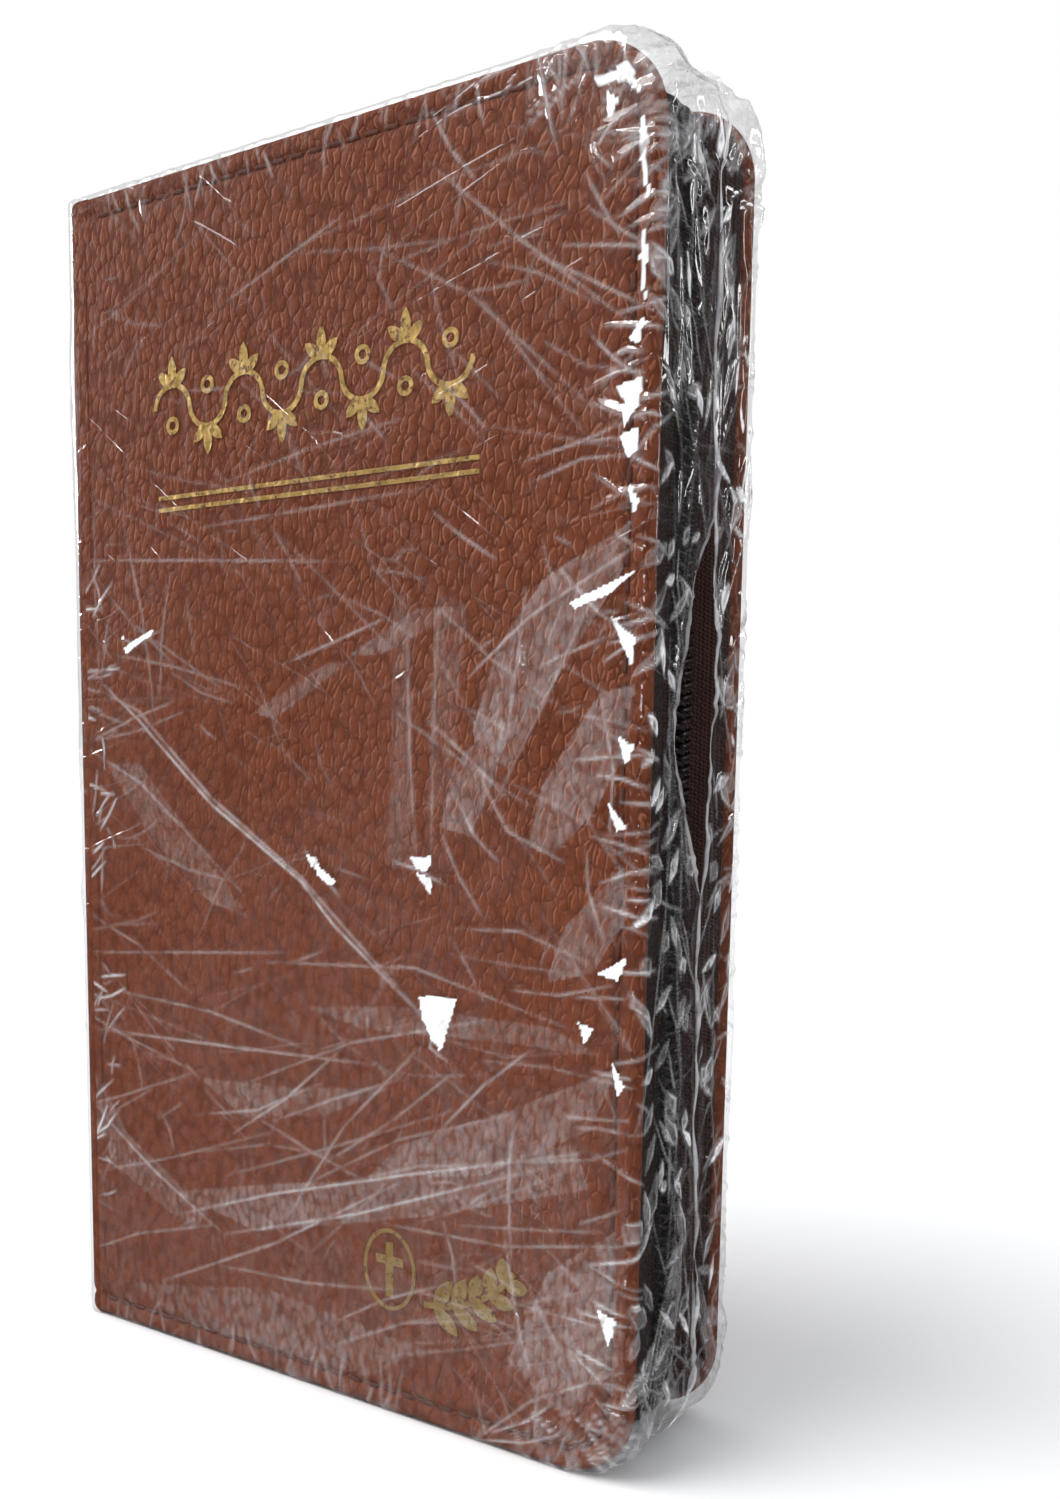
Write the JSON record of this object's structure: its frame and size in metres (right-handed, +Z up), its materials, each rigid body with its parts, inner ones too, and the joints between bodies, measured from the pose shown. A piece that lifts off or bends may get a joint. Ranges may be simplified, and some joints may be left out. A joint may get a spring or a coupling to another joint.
{
  "type": "zip-around bible",
  "caption": "Upright compact book in a stitched, grained brown wraparound cover with a zip round three edges and gold ornament, in clear creased shrink wrap.",
  "frame": {"origin": "centre of the bottom of the wrapped book, standing on its lower edge", "axes": "+Z up along the book's height, front cover towards -Y, spine at -X, fore edge at +X"},
  "size_m": [0.1062, 0.0308, 0.1875],
  "materials": {
    "cover_leather": "pebble-grained, satin",
    "cover_board": "matt grey board",
    "cover_lining": "smooth, matt",
    "seam_thread": "twisted polyester thread",
    "gold_foil": "hot-stamped foil, satin",
    "zip_tape": "woven herringbone",
    "zip_coil": "nylon monofilament",
    "zip_metal": "antique, lightly polished",
    "leaf_paper": "thin bible paper, gilt edges",
    "flyleaf_paper": "uncoated endpaper",
    "spine_board": "matt board",
    "spine_cloth": "open-weave cloth",
    "headband": "sewn headband",
    "shrink_wrap": "clear glossy film, creased"
  },
  "bodies": {
    "book_block": {"spine_leather": "cover_leather", "spine_board": "spine_board", "spine_cloth": "spine_cloth", "headband_top": "headband", "headband_bottom": "headband", "leaf_block": "leaf_paper", "wrap_spine": "shrink_wrap"},
    "front_cover": {"front_leather": "cover_leather", "front_board": "cover_board", "front_lining": "cover_lining", "front_stitching": "seam_thread", "foil_band": "gold_foil", "foil_rules": "gold_foil", "foil_device": "gold_foil", "front_zip_tape": "zip_tape", "front_zip_coil": "zip_coil", "front_top_stop": "zip_metal", "wrap_front": "shrink_wrap"},
    "front_endleaf": {"front_flyleaf": "flyleaf_paper"},
    "front_section_a": {"front_leaves_outer": "leaf_paper"},
    "front_section_b": {"front_leaves_inner": "leaf_paper"},
    "rear_cover": {"rear_leather": "cover_leather", "rear_board": "cover_board", "rear_lining": "cover_lining", "rear_stitching": "seam_thread", "rear_zip_tape": "zip_tape", "rear_zip_coil": "zip_coil", "rear_top_stop": "zip_metal", "bottom_stop": "zip_metal", "wrap_rear": "shrink_wrap"},
    "rear_endleaf": {"rear_flyleaf": "flyleaf_paper"},
    "rear_section": {"rear_leaves": "leaf_paper"},
    "slider": {"slider_body": "zip_metal", "slider_crown": "zip_metal"},
    "pull": {"pull_tab": "zip_metal"}
  },
  "joints": [
    {"name": "front_cover_hinge", "type": "hinge", "parent": "book_block", "child": "front_cover", "pos_m": [-0.0485, -0.0154, 0.09275], "axis": [0, 0, -1], "range_deg": [0, 175], "deforming": ["front_zip_tape", "front_zip_coil"]},
    {"name": "front_endleaf_turn", "type": "hinge", "parent": "book_block", "child": "front_endleaf", "pos_m": [-0.0444, -0.01105, 0.09275], "axis": [0, 0, -1], "range_deg": [0, 112]},
    {"name": "front_section_a_turn", "type": "hinge", "parent": "book_block", "child": "front_section_a", "pos_m": [-0.0444, -0.01065, 0.09275], "axis": [0, 0, -1], "range_deg": [0, 65]},
    {"name": "front_section_b_turn", "type": "hinge", "parent": "book_block", "child": "front_section_b", "pos_m": [-0.0444, -0.0081, 0.09275], "axis": [0, 0, -1], "range_deg": [0, 30]},
    {"name": "rear_cover_hinge", "type": "hinge", "parent": "book_block", "child": "rear_cover", "pos_m": [-0.0485, 0.0154, 0.09275], "axis": [0, 0, 1], "range_deg": [0, 175]},
    {"name": "rear_endleaf_turn", "type": "hinge", "parent": "book_block", "child": "rear_endleaf", "pos_m": [-0.0444, 0.01105, 0.09275], "axis": [0, 0, 1], "range_deg": [0, 112]},
    {"name": "rear_section_turn", "type": "hinge", "parent": "book_block", "child": "rear_section", "pos_m": [-0.0444, 0.01065, 0.09275], "axis": [0, 0, 1], "range_deg": [0, 65]},
    {"name": "zip_slide", "type": "slide", "parent": "rear_cover", "child": "slider", "axis": [1, 0, 0], "range_m": [0, 0.05], "deforming": ["rear_zip_tape", "rear_zip_coil"]},
    {"name": "pull_hinge", "type": "hinge", "parent": "slider", "child": "pull", "pos_m": [-0.037, 0, 0.1858], "axis": [0, -1, 0], "range_deg": [0, 170]}
  ],
  "couplings": [
    {"joint": "front_endleaf_turn", "follows": "front_cover_hinge", "ratio": 0.62},
    {"joint": "front_section_a_turn", "follows": "front_cover_hinge", "ratio": 0.35},
    {"joint": "front_section_b_turn", "follows": "front_cover_hinge", "ratio": 0.16},
    {"joint": "rear_endleaf_turn", "follows": "rear_cover_hinge", "ratio": 0.62},
    {"joint": "rear_section_turn", "follows": "rear_cover_hinge", "ratio": 0.35}
  ]
}
